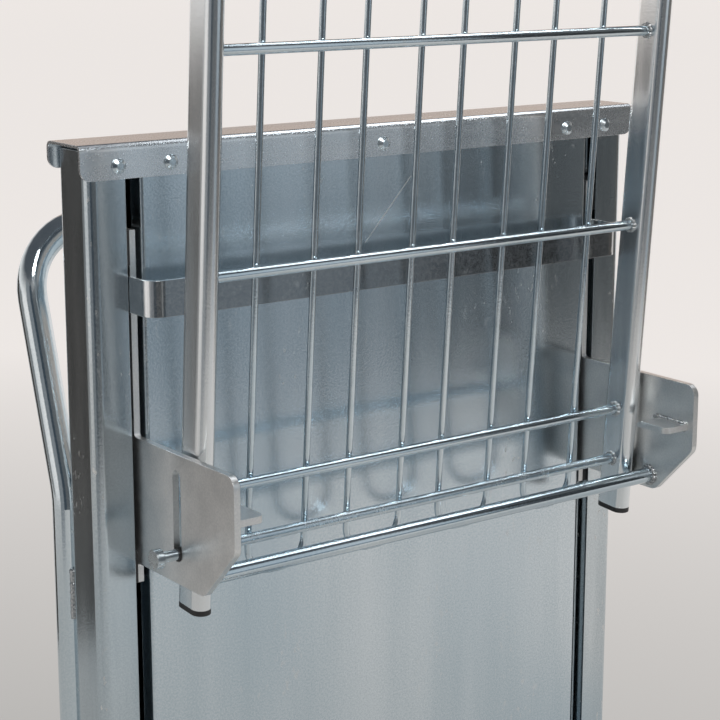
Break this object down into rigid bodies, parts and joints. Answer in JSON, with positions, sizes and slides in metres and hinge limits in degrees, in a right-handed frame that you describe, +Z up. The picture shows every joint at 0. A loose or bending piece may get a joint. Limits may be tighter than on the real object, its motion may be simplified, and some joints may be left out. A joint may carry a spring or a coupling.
{
  "type": "utility cart",
  "caption": "Zinc-plated lifting utility cart: castor base, slotted sheet-metal mast, spring-lifted carriage and a wire platform that folds up against the mast.",
  "frame": {"origin": "on the floor, below the middle of the cart's overall box", "axes": "+Z up, front towards -Y, +X to the cart's right seen from its front"},
  "size_m": [0.544, 0.764, 1.4286],
  "materials": {
    "zinc_sheet": "bright blue-white zinc plating on rolled sheet, faint streaks and scuffs",
    "zinc_tube": "bright zinc plating on drawn tube",
    "zinc_plate": "satin zinc plating on cut plate",
    "zinc_rod": "bright zinc plating on round wire",
    "zinc_hardware": "zinc-plated small parts",
    "black_plastic": "moulded black plastic",
    "black_paint": "black lacquer",
    "polished_rod": "hard-chromed piston rod",
    "grey_plastic": "moulded grey plastic",
    "grey_rubber": "non-marking grey rubber",
    "red_plastic": "moulded red plastic"
  },
  "bodies": {
    "frame": {"left_post": "zinc_sheet", "right_post": "zinc_sheet", "front_panel": "zinc_sheet", "rear_panel": "zinc_sheet", "top_cap": "zinc_sheet", "left_leg": "zinc_tube", "right_leg": "zinc_tube", "front_cross_tube": "zinc_tube", "rear_cross_tube": "zinc_tube", "mast_sill": "zinc_tube", "left_handle": "zinc_tube", "right_handle": "zinc_tube", "spring_feet": "zinc_plate", "mast_screws": "zinc_hardware", "castor_bolts": "zinc_hardware", "castor_heads": "zinc_hardware", "leg_plugs": "black_plastic", "left_spring_cylinder": "black_paint", "right_spring_cylinder": "black_paint"},
    "carriage": {"left_side_plate": "zinc_plate", "right_side_plate": "zinc_plate", "cross_strap": "zinc_plate", "cross_rod": "zinc_rod", "left_tab": "zinc_plate", "right_tab": "zinc_plate", "carriage_beam": "zinc_plate", "guide_shoes": "black_plastic", "left_spring_rod": "polished_rod", "right_spring_rod": "polished_rod", "spring_nuts": "zinc_hardware"},
    "bushes": {"pivot_bushes": "black_plastic"},
    "rack": {"left_rack_tube": "zinc_tube", "right_rack_tube": "zinc_tube", "pivot_rod": "zinc_hardware", "pivot_nut": "zinc_hardware", "rack_cross_rods": "zinc_rod", "rack_wires": "zinc_rod", "rack_plugs": "black_plastic"},
    "front_left_castor": {"front_left_fork": "zinc_hardware", "front_left_axle": "zinc_hardware"},
    "front_left_wheel": {"front_left_hub": "grey_plastic", "front_left_tyre": "grey_rubber"},
    "front_right_castor": {"front_right_fork": "zinc_hardware", "front_right_axle": "zinc_hardware"},
    "front_right_wheel": {"front_right_hub": "grey_plastic", "front_right_tyre": "grey_rubber"},
    "rear_left_castor": {"rear_left_fork": "zinc_hardware", "rear_left_axle": "zinc_hardware"},
    "rear_left_wheel": {"rear_left_hub": "grey_plastic", "rear_left_tyre": "grey_rubber"},
    "rear_left_pedal": {"rear_left_brake_pedal": "red_plastic"},
    "rear_right_castor": {"rear_right_fork": "zinc_hardware", "rear_right_axle": "zinc_hardware"},
    "rear_right_wheel": {"rear_right_hub": "grey_plastic", "rear_right_tyre": "grey_rubber"},
    "rear_right_pedal": {"rear_right_brake_pedal": "red_plastic"}
  },
  "joints": [
    {"name": "carriage_lift", "type": "slide", "parent": "frame", "child": "carriage", "axis": [0, 0, 1], "range_m": [-0.37, 0], "stiffness_N_per_m": 90, "springref_m": 1.4},
    {"name": "rack_lift", "type": "slide", "parent": "carriage", "child": "bushes", "axis": [0, 0, 1], "range_m": [0, 0.056]},
    {"name": "rack_fold", "type": "hinge", "parent": "bushes", "child": "rack", "pos_m": [0, 0.186, 0.835], "axis": [1, 0, 0], "range_deg": [0, 85.9]},
    {"name": "front_left_swivel", "type": "hinge", "parent": "frame", "child": "front_left_castor", "pos_m": [-0.239, -0.33, 0.1405], "axis": [0, 0, 1], "continuous": true},
    {"name": "front_left_roll", "type": "hinge", "parent": "front_left_castor", "child": "front_left_wheel", "pos_m": [-0.239, -0.292, 0.0625], "axis": [1, 0, 0], "continuous": true},
    {"name": "front_right_swivel", "type": "hinge", "parent": "frame", "child": "front_right_castor", "pos_m": [0.239, -0.33, 0.1405], "axis": [0, 0, 1], "continuous": true},
    {"name": "front_right_roll", "type": "hinge", "parent": "front_right_castor", "child": "front_right_wheel", "pos_m": [0.239, -0.292, 0.0625], "axis": [1, 0, 0], "continuous": true},
    {"name": "rear_left_swivel", "type": "hinge", "parent": "frame", "child": "rear_left_castor", "pos_m": [-0.239, 0.262, 0.1405], "axis": [0, 0, 1], "continuous": true},
    {"name": "rear_left_roll", "type": "hinge", "parent": "rear_left_castor", "child": "rear_left_wheel", "pos_m": [-0.239, 0.3, 0.0625], "axis": [1, 0, 0], "continuous": true},
    {"name": "rear_left_brake", "type": "hinge", "parent": "rear_left_castor", "child": "rear_left_pedal", "pos_m": [-0.239, 0.326, 0.129], "axis": [-1, 0, 0], "range_deg": [0, 18]},
    {"name": "rear_right_swivel", "type": "hinge", "parent": "frame", "child": "rear_right_castor", "pos_m": [0.239, 0.262, 0.1405], "axis": [0, 0, 1], "continuous": true},
    {"name": "rear_right_roll", "type": "hinge", "parent": "rear_right_castor", "child": "rear_right_wheel", "pos_m": [0.239, 0.3, 0.0625], "axis": [1, 0, 0], "continuous": true},
    {"name": "rear_right_brake", "type": "hinge", "parent": "rear_right_castor", "child": "rear_right_pedal", "pos_m": [0.239, 0.326, 0.129], "axis": [-1, 0, 0], "range_deg": [0, 18]}
  ],
  "couplings": [
    {"joint": "rack_lift", "follows": "rack_fold", "m_per_rad": 0.03735}
  ]
}
